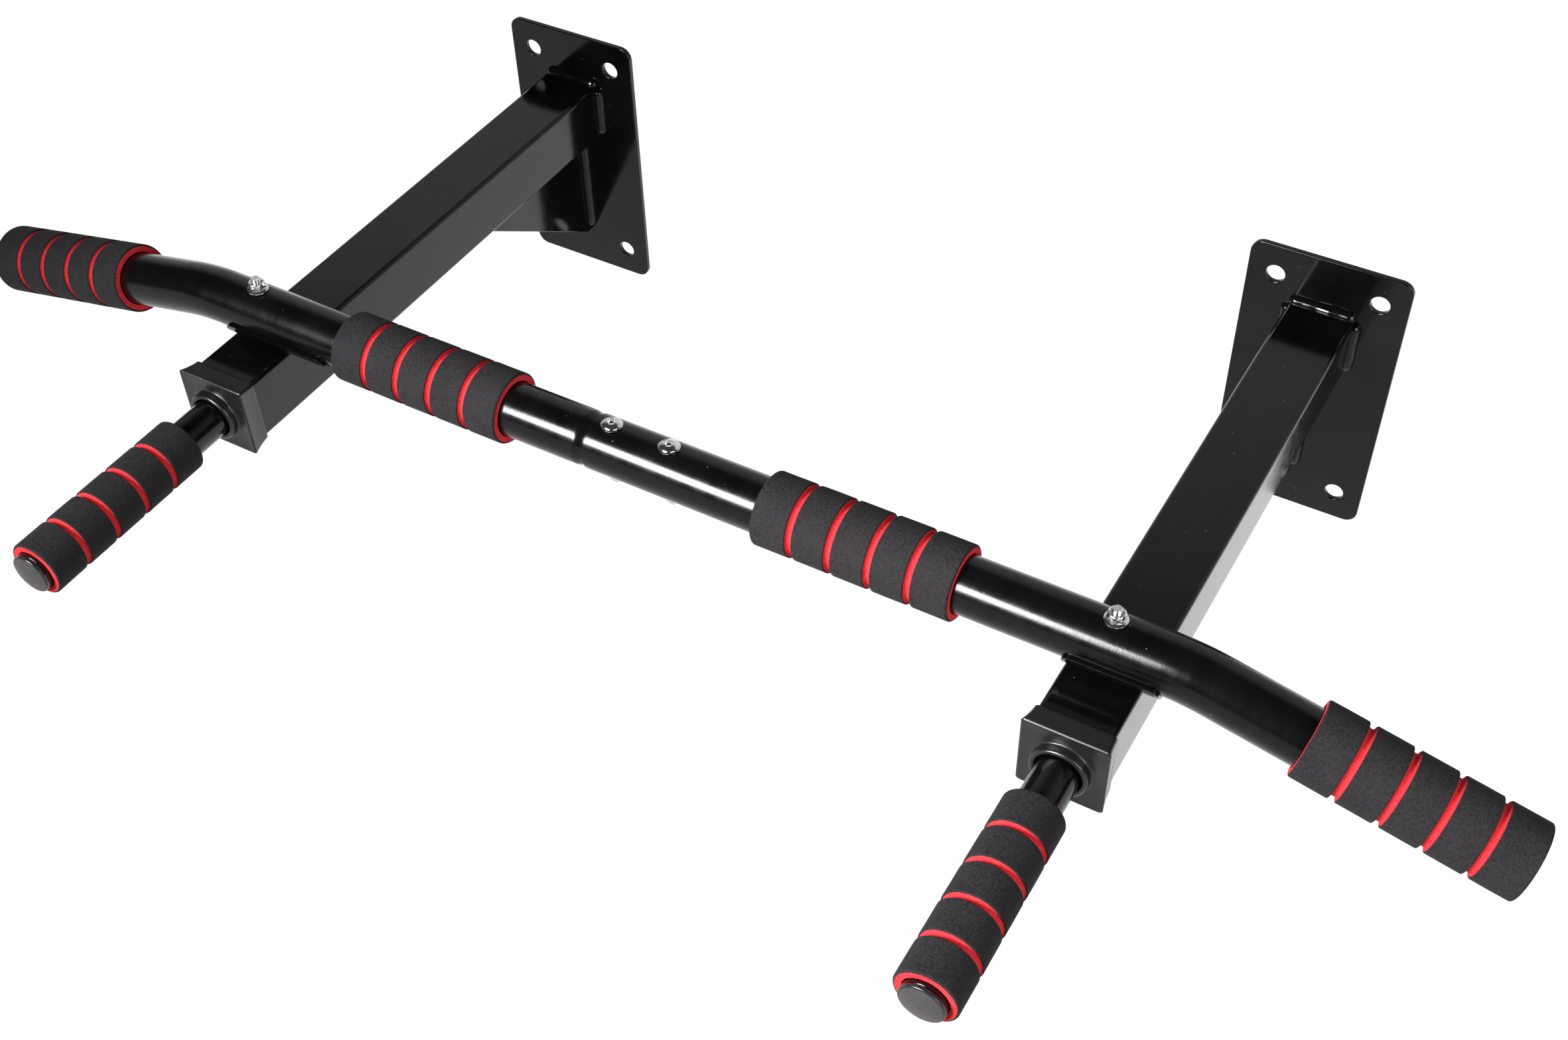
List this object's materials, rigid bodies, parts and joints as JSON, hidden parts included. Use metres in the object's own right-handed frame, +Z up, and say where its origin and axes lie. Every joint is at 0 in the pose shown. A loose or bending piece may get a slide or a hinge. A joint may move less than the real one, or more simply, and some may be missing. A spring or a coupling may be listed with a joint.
{
  "type": "wall-mounted pull-up bar",
  "caption": "Straight pull-up bar with turned-down ends and foam grips, bolted across square arms on wall plates, with a foam-covered handle in the end of each arm.",
  "frame": {"origin": "on the wall plane, midway between the two wall plates and at half their height", "axes": "+X along the bar, +Y into the wall, +Z up"},
  "size_m": [1.0684, 0.5801, 0.2187],
  "materials": {
    "black_powder_coat": "gloss black powder coat",
    "black_plastic": "satin black moulded plastic",
    "black_foam": "dark grey foam skin with red core in the grooves and at the ends",
    "bright_zinc": "bright zinc plating",
    "bare_steel": "plain steel plate"
  },
  "bodies": {
    "root": {"left_wall_plate": "black_powder_coat", "left_arm": "black_powder_coat", "left_gusset": "black_powder_coat", "left_top_weld": "black_powder_coat", "left_arm_left_hand_weld": "black_powder_coat", "left_arm_right_hand_weld": "black_powder_coat", "left_gusset_left_hand_weld": "black_powder_coat", "left_gusset_right_hand_weld": "black_powder_coat", "left_saddle": "black_powder_coat", "left_arm_cap": "black_plastic", "left_handle_tube": "black_powder_coat", "left_handle_bush": "bare_steel", "left_handle_plug": "black_plastic", "left_handle_grip": "black_foam", "left_crossing_bolt": "bright_zinc", "left_crossing_nut": "bright_zinc", "right_wall_plate": "black_powder_coat", "right_arm": "black_powder_coat", "right_gusset": "black_powder_coat", "right_top_weld": "black_powder_coat", "right_arm_left_hand_weld": "black_powder_coat", "right_arm_right_hand_weld": "black_powder_coat", "right_gusset_left_hand_weld": "black_powder_coat", "right_gusset_right_hand_weld": "black_powder_coat", "right_saddle": "black_powder_coat", "right_arm_cap": "black_plastic", "right_handle_tube": "black_powder_coat", "right_handle_bush": "bare_steel", "right_handle_plug": "black_plastic", "right_handle_grip": "black_foam", "right_crossing_bolt": "bright_zinc", "right_crossing_nut": "bright_zinc", "left_bar": "black_powder_coat", "left_end_plug": "black_plastic", "left_outer_grip": "black_foam", "left_centre_grip": "black_foam", "left_joint_bolt": "bright_zinc", "left_joint_nut": "bright_zinc", "right_bar": "black_powder_coat", "right_end_plug": "black_plastic", "right_outer_grip": "black_foam", "right_centre_grip": "black_foam", "right_joint_bolt": "bright_zinc", "right_joint_nut": "bright_zinc"}
  },
  "joints": []
}
